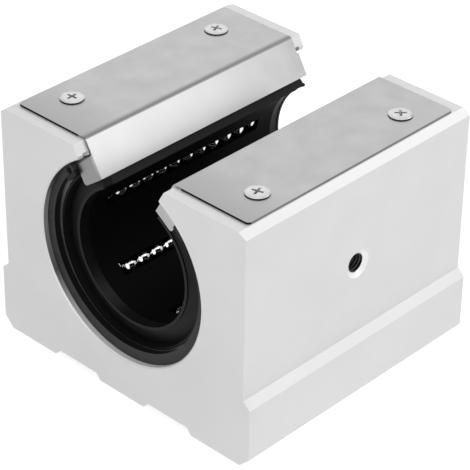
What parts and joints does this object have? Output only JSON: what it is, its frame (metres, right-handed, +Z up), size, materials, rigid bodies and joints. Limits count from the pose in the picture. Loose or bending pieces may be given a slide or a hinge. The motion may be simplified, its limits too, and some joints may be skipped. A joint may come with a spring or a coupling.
{
  "type": "linear bearing block",
  "caption": "Open linear bearing block for a supported round shaft, with a recirculating ball bearing held in an aluminium housing by retaining rings and folded cover plates.",
  "frame": {"origin": "centre of the underside that rests on the rail or table", "axes": "+Z up from the mounting face, Y along the shaft with the front end at -Y, X across the block"},
  "size_m": [0.12, 0.11, 0.092],
  "materials": {
    "block": "clear anodised, satin",
    "sleeve": "ground bearing steel",
    "retainer": "moulded black acetal, satin",
    "balls": "polished bearing steel",
    "seals": "moulded black nitrile, satin",
    "retaining_rings": "phosphated and oiled spring steel, matte dark grey",
    "plates": "stainless sheet, brushed",
    "screws": "zinc plated steel, bright"
  },
  "bodies": {
    "root": {"block": "block", "bearing_sleeve": "sleeve", "ball_retainer": "retainer", "ball_circuit_1": "balls", "ball_circuit_2": "balls", "ball_circuit_3": "balls", "ball_circuit_4": "balls", "ball_circuit_5": "balls", "front_end_seal": "seals", "rear_end_seal": "seals", "front_retaining_ring": "retaining_rings", "rear_retaining_ring": "retaining_rings", "left_plate": "plates", "right_plate": "plates", "left_plate_screws": "screws", "right_plate_screws": "screws"}
  },
  "joints": []
}
